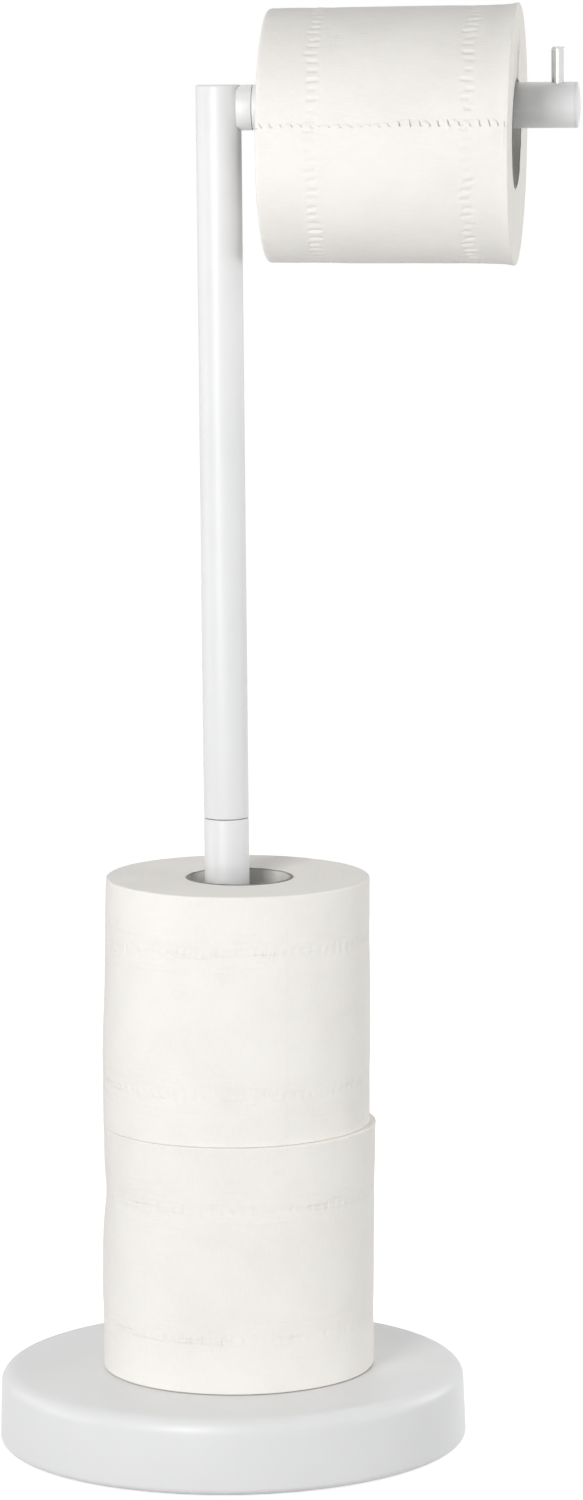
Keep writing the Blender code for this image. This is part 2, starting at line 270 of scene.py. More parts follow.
lamps = {
    # place, aim, size and watts
    "nearBox": ((-0.38, -1.15, 0.70), (0, 0, 0.55), (0.45, 0.9), 10.6),
    "lowBox": ((-0.1, -1.5, 0.06), (0.07, 0, 0.50), (1.2, 0.1), 2.4),
    "rightBox": ((2.4, -0.35, 0.50), (0, 0, 0.35), (1.0, 1.0), 18.8),
    "rightBackBox": ((1.8, 1.2, 0.8), (0, 0, 0.35), (1.0, 1.0), 9.2),
    "leftBox": ((-2.2, -0.3, 0.5), (0, 0, 0.30), (1.0, 0.9), 6.3),
    "leftBackBox": ((-2.0, 0.9, 0.8), (0, 0, 0.30), (1.0, 1.0), 4.2),
    "topBackBox": ((0.1, 0.9, 1.6), (0, 0, 0.3), (1.2, 1.0), 2.7),
}
unmirroredLamp = "rightBox"  # its reflection would make the pin as white as the background


def addLamps():
    for name, (place, aim, size, watts) in lamps.items():
        data = bpy.data.lights.new(name, "AREA")
        data.shape = "RECTANGLE"
        data.size, data.size_y = size
        data.energy = watts
        box = bpy.data.objects.new(name, data)
        box.visible_glossy = name != unmirroredLamp
        bpy.context.scene.collection.objects.link(box)
        away = Vector(place) - Vector(aim)
        facing = away.to_track_quat("Z", "Y").to_matrix().to_4x4()
        box.matrix_world = Matrix.Translation(place) @ facing


bpy.context.scene.view_settings.view_transform = "Standard"
addCamera()
addWorld()
addLamps()
addFloor()
print("studio set")


# Finishes: sizes and depths in metres, scales in grains to the metre

enamelLook = {
    "colour": (0.777, 0.779, 0.780),
    "shade": (0.750, 0.753, 0.756),
    "shadeScale": 14,
    "dust": (0.62, 0.62, 0.62),
    "dustShare": 0.05,
    "dustPitch": 0.00315,
    "dustSize": (0.035, 0.07),  # shares of the pitch
    "roughness": (0.42, 0.07),  # start and spread, as in the other looks
    "roughnessScale": 55,
    "peelSize": 0.0019,
    "peelDepth": 0.000016,
    "coat": 0.2,
    "coatRoughness": 0.3,
}


def enamel(name):
    look = enamelLook
    paint = newPaint(name)
    place = paint.place()
    cloud = paint.noise(place, look["shadeScale"], 3, 0.55)
    peel = paint.noise(place, 1 / look["peelSize"], 1.5, 0.4)
    clean = paint.cells(place, 1 / look["dustPitch"]).between(*look["dustSize"])
    uneven = paint.noise(place, look["roughnessScale"], 4, 0.6) - 0.5
    colour = paint.mixed(cloud.between(0.35, 0.7), look["colour"], look["shade"])
    colour = paint.mixed(look["dustShare"] * (1 - clean), colour, look["dust"])
    bump = paint.relief(peel, look["peelDepth"])
    bump = paint.relief(1 - clean, look["peelDepth"], bump)
    paint.finish(Coat_Roughness=look["coatRoughness"], Specular_IOR_Level=0.5, Coat_Weight=look["coat"])
    return paint.finish(Base_Color=colour, Roughness=uneven.over(*look["roughness"]), Normal=bump)


tissueLook = {
    "colour": (0.905, 0.883, 0.842),
    "hollow": (0.862, 0.836, 0.790),  # painted shade between the crepe's ridges, with random clouds of tone mixed in too
    "hollowScale": 38,
    # painted shade in the cuts at the sheet ends and along their crease
    "cutAndCreaseShade": (0.70, 0.665, 0.61),
    # painted shade in the valleys of the embossed puckers, and how strong it is
    "pressedShadeColour": (0.66, 0.63, 0.58),
    "pressedShade": 0.24,
    "endColour": (0.935, 0.910, 0.864),
    # painted shade in the hollows between the wound layers of the end faces
    "endHollowShade": (0.876, 0.847, 0.797),
    "fibreColour": (1, 1, 1),
    "fibreShade": 0.10,
    "fibreSize": 0.00032,
    "crepeSize": (0.00042, 0.0042),  # round the roll and along it, as in the other sizes
    "crepeDepth": 0.00010,
    "puffSize": (0.0058, 0.0075),
    "puffDepth": 0.00022,
    "layer": 0.00024,
    "bunchSize": (1 / 12, 0.0021),  # layers that lie closer to each other
    "sheetLength": 0.1165,
    "tabPitch": 0.0041,
    "tabEdge": (0.17, 0.23),  # shares of the pitch
    "cutWidth": (0.00012, 0.00035),
    "creaseWidth": (0.0003, 0.0012),
    "cutDepth": 0.00022,
    "crimp": 0.0017,  # from one fine pressed line in the bands to the next
    "crimpLean": 2.4,
    "crimpReach": (0.0012, 0.0022),
    "crimpDrift": 1.6,
    "crimpDriftSize": (0.006, 0.006),
    "crimpPatchSize": (0.021, 0.009),
    "crimpDepth": 0.00018,
    "foldReach": (0.004, 0.014),  # how far the long soft folds reach from a band
    "foldSize": (0.030, 0.0040),
    "foldDepth": 0.00028,
    "dashSize": (0.013, 0.0020),
    "dashDepth": 0.00006,
}


def sheetCuts(look, across, along):
    # sheet ends: a row of short cuts with a small bonded tab between two cuts, on a soft crease
    fromCut = ((across / look["sheetLength"] + 0.5).fraction() - 0.5).size() * look["sheetLength"]
    slit = ((along / look["tabPitch"]).fraction() - 0.5).size().between(*look["tabEdge"])
    return (1 - fromCut.between(*look["cutWidth"])) * slit, 1 - fromCut.between(*look["creaseWidth"])


def nearBands(along, places, reach):
    # 1 in the embossed bands, fading out over the reach on both sides of them
    first, second = (1 - (along - place).size().between(*reach) for place in places)
    return first + second


def crossedLines(paint, look, wrap, across, along):
    # fine lines that cross each other, a little unsteady
    slope = along * (fullTurn / (look["crimp"] * look["crimpLean"]))
    turns = across * (fullTurn / look["crimp"])
    drift = look["crimpDrift"] * paint.grainNoise(wrap, look["crimpDriftSize"], 1, 0.5)
    patchy = paint.grainNoise(wrap, look["crimpPatchSize"], 2, 0.5).between(0.42, 0.62)
    return (turns * 0.5 + slope + drift).wave() * (turns * 0.5 - slope - drift).wave() * patchy


def tissue(name, roll, radius):
    look = tissueLook
    paint = newPaint(name)
    wrap = paint.wrap()
    across, along = paint.split(wrap)[:2]
    place = paint.place()
    pressed, atEnd = paint.attribute("pressed"), paint.attribute("endShare")
    onSide = 1 - atEnd

    crepe = paint.grainNoise(wrap, look["crepeSize"], 3, 0.6, 0.35)
    fibres = paint.noise(place, 1 / look["fibreSize"], 3, 0.65)
    cloud = paint.noise(place, look["hollowScale"], 3, 0.5)
    puffs = paint.cells(paint.grains(wrap, look["puffSize"]), 1.0, "SMOOTH_F1")
    cutSide = onSide * roll["cutShare"]
    cut, crease = (mask * cutSide for mask in sheetCuts(look, across, along))

    crimped = nearBands(along, roll["bandPlaces"], look["crimpReach"]) * roll["crimpShare"]
    crimp = crossedLines(paint, look, wrap, across, along) * crimped
    besideBand = nearBands(along, roll["bandPlaces"], look["foldReach"])
    folds = paint.grainNoise(wrap, look["foldSize"], 2, 0.5, 0.4)
    dashes = paint.grainNoise(wrap, look["dashSize"], 1, 0.5, 0.2).between(0.42, 0.75)
    foldSide = onSide * roll["foldShare"]

    # the end faces show the wound layers as fine rings that climb one layer a turn
    climb = across * (look["layer"] / (fullTurn * radius))
    rings = ((along + climb) * (fullTurn / look["layer"])).wave()
    bunched = paint.grainNoise(wrap, look["bunchSize"], 3, 0.55)

    # the crepe's hollows get a painted shade, and random clouds of tone darken the skin as well
    skin = paint.mixed((0.45 * crepe + 0.55 * cloud).between(0.62, 0.3), look["colour"], look["hollow"])
    # the cuts and the crease at the sheet ends get a painted shade
    skin = paint.mixed(0.5 * cut + 0.18 * crease, skin, look["cutAndCreaseShade"])
    # painted shade in the embossed valleys, read from the pressed depth
    skin = paint.mixed(look["pressedShade"] * pressed, skin, look["pressedShadeColour"])
    # the end faces' hollows between the wound layers get a painted shade
    end = paint.mixed((0.3 * rings + bunched).between(0.75, 0.2), look["endColour"], look["endHollowShade"])
    colour = paint.mixed(atEnd, skin, end)
    colour = paint.mixed(look["fibreShade"] * (fibres - 0.5).size(), colour, look["fibreColour"])

    endHeight = 0.22 * (0.35 * rings + 1.6 * bunched) + 0.3 * fibres
    bump = paint.relief(onSide * (crepe + 0.35 * fibres) + atEnd * endHeight, look["crepeDepth"])
    bump = paint.relief(puffs * onSide, look["puffDepth"], bump)
    bump = paint.relief(1 - cut - 0.4 * crease, look["cutDepth"], bump)
    bump = paint.relief(folds * (0.35 + besideBand) * foldSide, look["foldDepth"], bump)
    bump = paint.relief(dashes * (0.5 + besideBand) * foldSide, look["dashDepth"], bump)
    bump = paint.relief(crimp * onSide, look["crimpDepth"], bump)
    paint.finish(Roughness=0.97, Specular_IOR_Level=0.25, Sheen_Weight=0.12, Sheen_Roughness=0.6)
    return paint.finish(Base_Color=colour, Normal=bump)


boardLook = {
    "colour": (0.72, 0.705, 0.68),
    "mottle": (0.60, 0.585, 0.56),
    "mottleScale": 120,
    "fleck": (0.40, 0.385, 0.36),
    "fleckScale": 620,
    "cutEnd": (0.22, 0.21, 0.195),
    "pulpScale": 900,
    "stripWidth": 0.052,
    "stripAngle": 52,  # degrees from the core's length
    "jointWidth": (0.004, 0.011),  # shares of the strip's width
    "roughness": (0.82, 0.14),
    "depth": 0.00012,
}


def board(name):
    look = boardLook
    paint = newPaint(name)
    across, along = paint.split(paint.wrap())[:2]
    cutEnd = paint.attribute("cutEnd")
    place = paint.place()
    pulp = paint.noise(place, look["pulpScale"], 4, 0.7)
    mottle = paint.noise(place, look["mottleScale"], 4, 0.6)
    fleck = paint.cells(place, look["fleckScale"]).between(0.16, 0.05)

    # the strips' butt joint winds round the core as a fine open line
    lean = math.radians(look["stripAngle"])
    wound = along * math.sin(lean) - across * math.cos(lean)
    joint = 1 - ((wound / look["stripWidth"]).fraction() - 0.5).size().between(*look["jointWidth"])

    colour = paint.mixed(mottle.between(0.3, 0.75), look["colour"], look["mottle"])
    colour = paint.mixed(0.45 * fleck + 0.5 * joint, colour, look["fleck"])
    # the core's cut ends, with the edges next to them, are drawn much darker than the board
    colour = paint.mixed(cutEnd * (0.7 + 0.3 * mottle), colour, look["cutEnd"])
    bump = paint.relief(pulp + 0.6 * mottle - 0.8 * joint, look["depth"])
    paint.finish(Specular_IOR_Level=0.3)
    return paint.finish(Base_Color=colour, Roughness=mottle.over(*look["roughness"]), Normal=bump)


plainLooks = {
    "polishedPinSteel": {
        "colours": ((0.74, 0.74, 0.73), (0.70, 0.70, 0.695)),
        "cloud": (260, 3, 0.5),  # scale, detail and roughness of the noise
        "cloudEdge": (0.3, 0.7),
        "grain": ((300, 300, 9000), 2, 0.6),  # fine lines round the pin, left by its polishing
        "depth": 0.0000012,
        "roughness": (0.23, 0.04),
        "metallic": 1.0,
    },
    "zincPlatedSteel": {
        "colours": ((0.60, 0.61, 0.63), (0.50, 0.50, 0.49)),
        "cloud": (240, 4, 0.6),
        "cloudEdge": (0.35, 0.65),
        "grain": (1500,),
        "depth": 0.00002,
        "roughness": (0.30, 0.22),
        "metallic": 1.0,
    },
    "footRubber": {
        "colours": ((0.045, 0.045, 0.048), (0.085, 0.085, 0.088)),
        "cloud": (60, 4, 0.6),
        "cloudEdge": (0.4, 0.75),
        "grain": (1100,),
        "depth": 0.00015,
        "roughness": (0.72, 0.2),
        "metallic": 0.0,
    },
    "mouldedNylon": {
        "colours": ((0.76, 0.755, 0.73), (0.69, 0.685, 0.66)),
        "cloud": ((90, 90, 30), 3, 0.5),
        "cloudEdge": (0.3, 0.7),
        "grain": (2600, 2, 0.5),
        "depth": 0.00002,
        "roughness": (0.42, 0.12),
        "metallic": 0.0,
    },
}


def plainFinish(name):
    # clouds of a second colour, which are rougher too, over a fine grain
    look = plainLooks[name]
    paint = newPaint(name)
    place = paint.place()
    cloud = paint.pattern(place, *look["cloud"])
    grain = paint.pattern(place, *look["grain"])
    colour = paint.mixed(cloud.between(*look["cloudEdge"]), *look["colours"])
    paint.finish(Metallic=look["metallic"], Roughness=cloud.over(*look["roughness"]))
    return paint.finish(Base_Color=colour, Normal=paint.relief(grain, look["depth"]))


cementLook = {
    "colour": (0.44, 0.43, 0.41),
    "patch": (0.34, 0.335, 0.32),
    "patchScale": 45,
    # painted shade in the pores
    "poreShade": (0.16, 0.16, 0.155),
    "poreScale": 210,
    "sandScale": 900,
    "depth": 0.0004,
    "roughness": (0.86, 0.1),
}


def castCement(name):
    look = cementLook
    paint = newPaint(name)
    place = paint.place()
    sand = paint.noise(place, look["sandScale"], 5, 0.7)
    patch = paint.noise(place, look["patchScale"], 4, 0.6)
    solid = paint.cells(place, look["poreScale"]).between(0.10, 0.22)
    colour = paint.mixed(patch.between(0.3, 0.7), look["colour"], look["patch"])
    # the pores, sunk in the bump, get a painted shade
    colour = paint.mixed(0.6 * (1 - solid), colour, look["poreShade"])
    bump = paint.relief(0.5 * sand + solid, look["depth"])
    return paint.finish(Base_Color=colour, Roughness=sand.over(*look["roughness"]), Normal=bump)


# the weight, plate, pad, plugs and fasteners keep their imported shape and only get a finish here
innerFinishes = {
    "zinc_steel": plainFinish("zincPlatedSteel"),
    "cement": castCement("castCement"),
    "foot_pad": plainFinish("footRubber"),
    "nylon": plainFinish("mouldedNylon"),
}
for row in frame["record"]["subparts"]:
    if row["material_slot"] in innerFinishes:
        coated = frame["nodes"][row["node"]].data.materials
        coated.clear()
        coated.append(innerFinishes[row["material_slot"]])
whiteEnamel = enamel("whiteEnamel")
pinSteel = plainFinish("polishedPinSteel")
print("finishes mixed")


# Modelling helpers


def startEdit():
    bpy.ops.object.mode_set(mode="EDIT")


def endEdit():
    bpy.ops.object.mode_set(mode="OBJECT")


def editAll(operator, **settings):
    # runs one edit mode operator on the whole active mesh
    startEdit()
    bpy.ops.mesh.select_all(action="SELECT")
    operator(**settings)
    endEdit()


def bend(centreRadius, centreHeight, radius, start, end, steps):
    # round corner of an outline, from one angle to the other in degrees
    turns = [math.radians(start + (end - start) * step / steps) for step in range(steps + 1)]
    return [(centreRadius + radius * math.cos(t), centreHeight + radius * math.sin(t)) for t in turns]


def closeSection(piece):
    # joins the first and the last point of an outline that is still in edit mode
    work = bmesh.from_edit_mesh(piece.data)
    work.verts.ensure_lookup_table()
    for vert in work.verts:
        vert.select = vert.index in (0, len(work.verts) - 1)
    work.select_flush_mode()
    bmesh.update_edit_mesh(piece.data)
    bpy.ops.mesh.edge_face_add()


startSize = 0.002  # of the small plane that is merged to the first point
mergeGap = 0.000002


def turnOutline(name, outline, steps, origin, axis=upward, reach=alongArm):
    # draws the half section point by point and spins it; a section off the axis is closed to a ring
    spots = [Vector(origin) + axis * height + reach * radius for radius, height in outline]
    bpy.ops.object.select_all(action="DESELECT")
    bpy.ops.mesh.primitive_plane_add(size=startSize, location=spots[0])
    piece = bpy.context.object
    piece.name = piece.data.name = name
    startEdit()
    bpy.ops.mesh.merge(type="CENTER")
    for before, after in zip(spots, spots[1:]):
        bpy.ops.mesh.extrude_region_move(TRANSFORM_OT_translate={"value": after - before})
    if outline[0][0] > 0:
        closeSection(piece)
    bpy.ops.mesh.select_all(action="SELECT")
    bpy.ops.mesh.spin(steps=steps, angle=fullTurn, center=origin, axis=axis)
    bpy.ops.mesh.select_all(action="SELECT")
    bpy.ops.mesh.remove_doubles(threshold=mergeGap)
    bpy.ops.mesh.normals_make_consistent(inside=False)
    endEdit()
    bpy.ops.object.transform_apply(location=True, rotation=True, scale=True)
    return piece


def activate(piece):
    bpy.ops.object.select_all(action="DESELECT")
    piece.select_set(True)
    bpy.context.view_layer.objects.active = piece


def applyModifier(piece, kind, **settings):
    activate(piece)
    modifier = piece.modifiers.new(kind, kind)
    for key, value in settings.items():
        setattr(modifier, key, value)
    bpy.ops.object.modifier_apply(modifier=modifier.name)


def cutWith(piece, tool):
    applyModifier(piece, "BOOLEAN", operation="DIFFERENCE", solver="EXACT", object=tool)
    bpy.data.objects.remove(tool)


def dress(piece, material, body, slot, *nodes, angle=32):
    # edges sharper than the angle stay sharp, the rest is shaded smooth
    activate(piece)
    bpy.ops.object.shade_smooth_by_angle(angle=math.radians(angle))
    piece.data.materials.clear()
    piece.data.materials.append(material)
    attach(piece, body)
    if nodes:
        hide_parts(*nodes)


def middle(node):
    low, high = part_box(node)
    return (low + high) / 2


def halfWidth(node):
    low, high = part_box(node)
    return (high.x - low.x) / 2


def halfHeight(node):
    low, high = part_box(node)
    return (high.z - low.z) / 2


# Enamelled base cover, rolled in at its foot

baseShell = {
    "wall": 0.0012,
    "rimRadius": 0.0065,
    "footRadius": 0.003,
    "draft": 0.0008,
    "boltHole": 0.0043,
    "dish": 0.00015,  # the pressed top lies this much lower in its middle
    "dishShares": (0.25, 0.5, 0.75, 0.92),
    "steps": 192,
}


def makeBaseCover():
    shell = baseShell
    low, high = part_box("base_cover")
    outer = (high.x - low.x) / 2
    rim, foot, wall = shell["rimRadius"], shell["footRadius"], shell["wall"]
    edge = outer - shell["draft"] - rim
    lip = outer - foot
    top, bottom = high.z, low.z
    outline = [(shell["boltHole"], top - shell["dish"])]
    outline += [(edge * share, top - shell["dish"] * (1 - share**2)) for share in shell["dishShares"]]
    outline += bend(edge, top - rim, rim, 90, 0, 12)
    outline += bend(lip, bottom + foot, foot, 0, -90, 8)
    outline += bend(lip, bottom + foot, foot - wall, -90, 0, 6)
    outline += bend(edge, top - rim, rim - wall, 0, 90, 8)
    outline.append((shell["boltHole"], top - wall))
    cover = turnOutline("base_cover_enamelled", outline, shell["steps"], (0, 0, 0))
    dress(cover, whiteEnamel, "stand", "white_lacquer", "base_cover")


# Post tubes, cap, neck, arm and its end

tube = {
    "wall": 0.0012,
    "cutRounding": 0.00035,
    "topRounding": 0.0009,
    "steps": 128,
}
tubeRows = (0.25, 0.5, 0.75)  # shares of the length


def tubeOutline(radius, bottom, top, lowRounding, highRounding):
    bore = radius - tube["wall"]
    outline = [(bore, bottom)]
    outline += bend(radius - lowRounding, bottom + lowRounding, lowRounding, -90, 0, 4)
    outline += [(radius, bottom + (top - bottom) * share) for share in tubeRows]
    outline += bend(radius - highRounding, top - highRounding, highRounding, 0, 90, 5)
    outline.append((bore, top))
    return outline


def makePost(node, body, highRounding):
    low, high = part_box(node)
    outline = tubeOutline(halfWidth(node), low.z, high.z, tube["cutRounding"], highRounding)
    pipe = turnOutline(node + "_pipe", outline, tube["steps"], (0, 0, 0))
    dress(pipe, whiteEnamel, body, "white_lacquer", node)


def makePostCap():
    low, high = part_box("post_top_cap")
    radius, rounding = halfWidth("post_top_cap"), tube["cutRounding"]
    outline = [(0, low.z), (radius, low.z)]
    outline += bend(radius - rounding, high.z - rounding, rounding, 0, 90, 4)
    outline += [(radius * 0.5, high.z), (0, high.z)]
    cap = turnOutline("post_top_disc", outline, tube["steps"], (0, 0, 0))
    dress(cap, whiteEnamel, "upper_stand", "white_lacquer", "post_top_cap")


armSeam = 0.00008  # open line left where the neck and the end disc meet the arm

neckPart = {
    "bore": 0.0028,
    "rounding": 0.00025,
    "postClearance": 0.0003,
    "edges": {"width": 0.00012, "segments": 2, "limit_method": "ANGLE", "angle_limit": math.radians(35)},
}


def makeNeck():
    low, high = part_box("arm_neck")
    axisHeight, radius = middle("arm_neck").z, halfHeight("arm_neck")
    rounding, bore = neckPart["rounding"], neckPart["bore"]
    outline = [(bore, low.x), (radius, low.x), (radius, (low.x + high.x) / 2)]
    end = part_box("arm_tube")[0].x - armSeam
    outline += bend(radius - rounding, end - rounding, rounding, 0, 90, 4)
    outline.append((bore, end))
    neck = turnOutline("arm_neck_spacer", outline, tube["steps"], (0, 0, axisHeight), alongArm, upward)

    hollow = halfWidth("upper_post") + neckPart["postClearance"]
    below, above = axisHeight - hollow * 2, axisHeight + hollow * 2
    section = [(0, below), (hollow, below), (hollow, above), (0, above)]
    cutWith(neck, turnOutline("neck_cutter", section, tube["steps"], (0, 0, 0)))
    applyModifier(neck, "BEVEL", **neckPart["edges"])
    dress(neck, whiteEnamel, "upper_stand", "white_lacquer", "arm_neck")


armPart = {
    "rootRounding": 0.0007,
    "endRounding": 0.00007,
    "pinClearance": 0.0003,
    "pinHoleSteps": 64,
}


def makeArm():
    low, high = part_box("arm_tube")
    axisHeight, radius = middle("arm_tube").z, halfHeight("arm_tube")
    outline = tubeOutline(radius, low.x, high.x, armPart["rootRounding"], armPart["endRounding"])
    pipe = turnOutline("arm_pipe", outline, tube["steps"], (0, 0, axisHeight), alongArm, upward)
    hole, above = halfWidth("arm_pin") + armPart["pinClearance"], axisHeight + radius * 2
    section = [(0, axisHeight), (hole, axisHeight), (hole, above), (0, above)]
    pinPlace = (middle("arm_pin").x, 0, 0)
    cutWith(pipe, turnOutline("pin_drill", section, armPart["pinHoleSteps"], pinPlace))
    dress(pipe, whiteEnamel, "upper_stand", "white_lacquer", "arm_tube")


endDisc = {
    "rounding": 0.0005,
    "roundingTurn": 62,  # degrees from the side, where the dome takes over
    "dome": 0.0009,
    "plugRadius": 0.008,
    "plugChamfer": 0.0006,
    "smoothAngle": 24,
}


def makeArmEnd():
    low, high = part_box("arm_end_cap")
    axisHeight, radius = middle("arm_tube").z, halfHeight("arm_tube")
    rounding, dome = endDisc["rounding"], endDisc["dome"]
    plug, chamfer = endDisc["plugRadius"], endDisc["plugChamfer"]
    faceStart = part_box("arm_tube")[1].x + armSeam
    outline = [(0, low.x), (plug - chamfer, low.x), (plug, low.x + chamfer)]
    outline += [(plug, faceStart), (radius, faceStart)]
    outline += bend(radius - rounding, high.x - dome - rounding, rounding, 0, endDisc["roundingTurn"], 4)
    sphere = ((radius - rounding) ** 2 + dome**2) / (2 * dome)
    spread = math.degrees(math.asin((radius - rounding) / sphere))
    outline += bend(0, high.x - sphere, sphere, 90 - spread, 90, 10)[1:-1]
    outline.append((0, high.x))
    cap = turnOutline("arm_end_disc", outline, tube["steps"], (0, 0, axisHeight), alongArm, upward)
    dress(cap, whiteEnamel, "upper_stand", "white_lacquer", "arm_end_cap", angle=endDisc["smoothAngle"])


pinPart = {
    "rounding": 0.0023,
    "dip": 0.00035,  # small turning centre left in the pin's head
    "dipShares": (1.1, 0.4),  # of the dip: half widths of its mouth and its floor
    "dipEdge": 0.1,
    "collar": 0.00025,
    "tailShare": 0.66,
    "steps": 64,
}


def makePin():
    low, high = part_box("arm_pin")
    radius, rounding = halfWidth("arm_pin"), pinPart["rounding"]
    dip, collar = pinPart["dip"], pinPart["collar"]
    mouth, floor = (dip * share for share in pinPart["dipShares"])
    shoulder = middle("arm_tube").z + halfHeight("arm_tube") - tube["wall"]
    tail = radius * pinPart["tailShare"]
    outline = [(0, low.z), (tail, low.z), (tail, shoulder), (radius - collar, shoulder)]
    outline += [(radius, shoulder + collar), (radius, (shoulder + high.z) / 2)]
    outline += bend(radius - rounding, high.z - rounding, rounding, 0, 90, 12)
    outline += [(radius - rounding, high.z), (mouth, high.z - dip * pinPart["dipEdge"])]
    outline += [(floor, high.z - dip), (0, high.z - dip)]
    pin = turnOutline("arm_pin_polished", outline, pinPart["steps"], (middle("arm_pin").x, 0, 0))
    dress(pin, pinSteel, "upper_stand", "polished_steel", "arm_pin")


makeBaseCover()
makePost("lower_post", "stand", tube["cutRounding"])
makePost("upper_post", "upper_stand", tube["topRounding"])
makePostCap()
makeNeck()
makeArm()
makeArmEnd()
makePin()
print("enamelled stand modelled")


# Paper rolls: a spun section whose surface is then shaped by the sheet, the embossing and the winding

spareRoll = {
    "embossShare": 0.42,
    "crimpShare": 0.9,
    "foldShare": 1.0,
    "cutShare": 0.12,
    "tabs": 0.0,
    "steps": 560,
}

rolls = {
    "hanging_roll": {
        "body": "hanging_roll",
        "seam": 265.5,  # degrees round the roll, where the outer sheet ends
        "swell": (-0.0011, 0.0),  # change of radius at the near and the far end
        "drift": ((0, 0), (0, 0)),  # how far each end has gone sideways
        "ends": ((0.0001, -0.0074, 0.0135), (-0.0011, -0.0176, 0.0212)),  # lift and slopes of the end faces
        "flare": 0.0007,  # how far the far rim stands out
        "coreDrift": (0, 0),  # how far the core's far end has gone sideways as well
        "bandPlaces": (0.0230, 0.0878),  # heights of the embossed bands
        "bulges": ((205, 0.012, 40, 0.02, 0.0003),),  # angle, height, half widths of both, how far out
        "lowRim": 0.0018,
        "highRim": 0.0006,
        "bandDip": 0.00025,
        "wobble": 0.00015,
        "embossShare": 1.0,
        "crimpShare": 0.12,
        "foldShare": 0.25,
        "cutShare": 1.0,
        "tabs": 0.0028,  # length of the tabs on the torn edge
        "steps": 640,
        "seed": 7,
    },
    "upper_spare": {
        "body": "upper_spare_roll",
        "seam": 62.0,
        "swell": (0.0004, -0.0004),
        "drift": ((-0.00075, 0), (0.00075, 0)),
        "ends": ((-0.00022, 0.0, 0.0), (0.0009, -0.0076, 0.0072)),
        "flare": 0.0,
        "coreDrift": (0.0008, 0),
        "bandPlaces": (0.0206, 0.0806),
        "bulges": (
            (186, 0.030, 30, 0.022, 0.0008),
            (150, 0.080, 50, 0.012, 0.0003),
            (0, 0.050, 45, 0.06, 0.0004),
        ),
        "lowRim": 0.0004,
        "highRim": 0.0011,
        "bandDip": 0.00022,
        "wobble": 0.00022,
        "seed": 21,
        **spareRoll,
    },
    "lower_spare": {
        "body": "lower_spare_roll",
        "seam": 118.0,
        "swell": (0.0, 0.0001),
        "drift": ((-0.0006, 0), (0.0006, 0)),
        "ends": ((-0.0002, 0.0, 0.0), (0.0001, 0.0, 0.0)),
        "flare": 0.0003,
        "coreDrift": (0, 0),
        "bandPlaces": (0.0225, 0.0774),
        "bulges": ((186, 0.075, 26, 0.010, -0.0009), (186, 0.028, 30, 0.03, 0.0007)),
        "lowRim": 0.0008,
        "highRim": 0.0005,
        "bandDip": 0.0003,
        "wobble": 0.00024,
        "seed": 34,
        **spareRoll,
    },
}

emboss = {
    "bandWidth": 0.0072,
    "pitch": 0.0043,
    "depth": 0.0007,
    "rowStep": 0.00055,
    "plainStep": 0.0034,
    "spreads": {  # how much the puckers differ from each other
        "depth": (0.3, 1.0),
        "shift": (-0.12, 0.12),
        "reach": (0.55, 1.0),
        "slant": (-0.25, 0.5),
        "aside": (-0.3, 0.3),
    },
    "valleyWidth": 0.17,  # shares of the pitch, like the next two
    "puffPlace": 0.42,
    "puffWidth": 0.16,
    "puffShare": 0.35,
}

winding = {
    "sheetStep": 0.0005,
    "stepWidth": 0.00012,
    "coreGap": 0.0003,
    "boreRows": (0.0005, 0.0012),
    "faceRows": 12,
    "faceRipple": 0.00016,
    "sink": 0.0006,  # how much lower the innermost sheets end
    "flareReach": 0.0045,
    "endFade": (0.0004, 0.0002),  # where the end's finish passes into the side's
}

coreTube = {
    "wall": 0.001,
    "steps": 128,
    "setBack": 0.0003,
    "fray": 0.00012,
    "reach": 0.022,  # what lies within this radius leans with the core
    "reachFade": 0.02,
}


def pointsOf(piece):
    points = np.zeros(len(piece.data.vertices) * 3)
    piece.data.vertices.foreach_get("co", points)
    return points.reshape(-1, 3)


class RollSpace:
    # a roll's own directions: heights run along its core, angles start at its first direction
    def __init__(self, name):
        self.axis, self.first = (alongArm, -upward) if name == "hanging_roll" else (upward, alongArm)
        self.second = backward
        low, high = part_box(name + "_core")
        self.origin = Vector([a if along else (a + b) / 2 for a, b, along in zip(low, high, self.axis)])
        self.length = (high - low).dot(self.axis)
        self.coreRadius = abs((high - low).dot(self.first)) / 2
        low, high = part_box(name + "_paper")
        widest = max(abs((high - low).dot(way)) for way in (self.first, self.second))
        self.radius = widest / 2 + winding["sheetStep"] / 4

    def read(self, piece):
        # height, distance from the axis and angle of each point
        points = pointsOf(piece) - np.array(self.origin)
        x, y = points @ np.array(self.first), points @ np.array(self.second)
        return points @ np.array(self.axis), np.hypot(x, y), np.arctan2(y, x) % fullTurn

    def write(self, piece, height, radius, angle):
        points = np.array(self.origin) + np.outer(height, self.axis)
        points += np.outer(radius * np.cos(angle), self.first)
        points += np.outer(radius * np.sin(angle), self.second)
        piece.data.vertices.foreach_set("co", points.ravel())
        piece.data.update()


def bandRows(start, end, places):
    # close rows in the embossed bands, wide ones between them
    heights, height = [], start
    while height < end - emboss["rowStep"]:
        heights.append(height)
        near = min(abs(height - place) for place in places) < emboss["bandWidth"] * 0.75
        height += emboss["rowStep"] if near else emboss["plainStep"]
        if not near:
            # stop at the edge of the next band, so that its rows begin there
            edges = [place - emboss["bandWidth"] * 0.7 for place in places]
            stops = [edge for edge in edges if heights[-1] < edge < height]
            height = min(stops, default=height)
    return heights + [end]


def smoothStep(value, low, high):
    share = np.clip((value - low) / (high - low), 0, 1)
    return share * share * (3 - 2 * share)


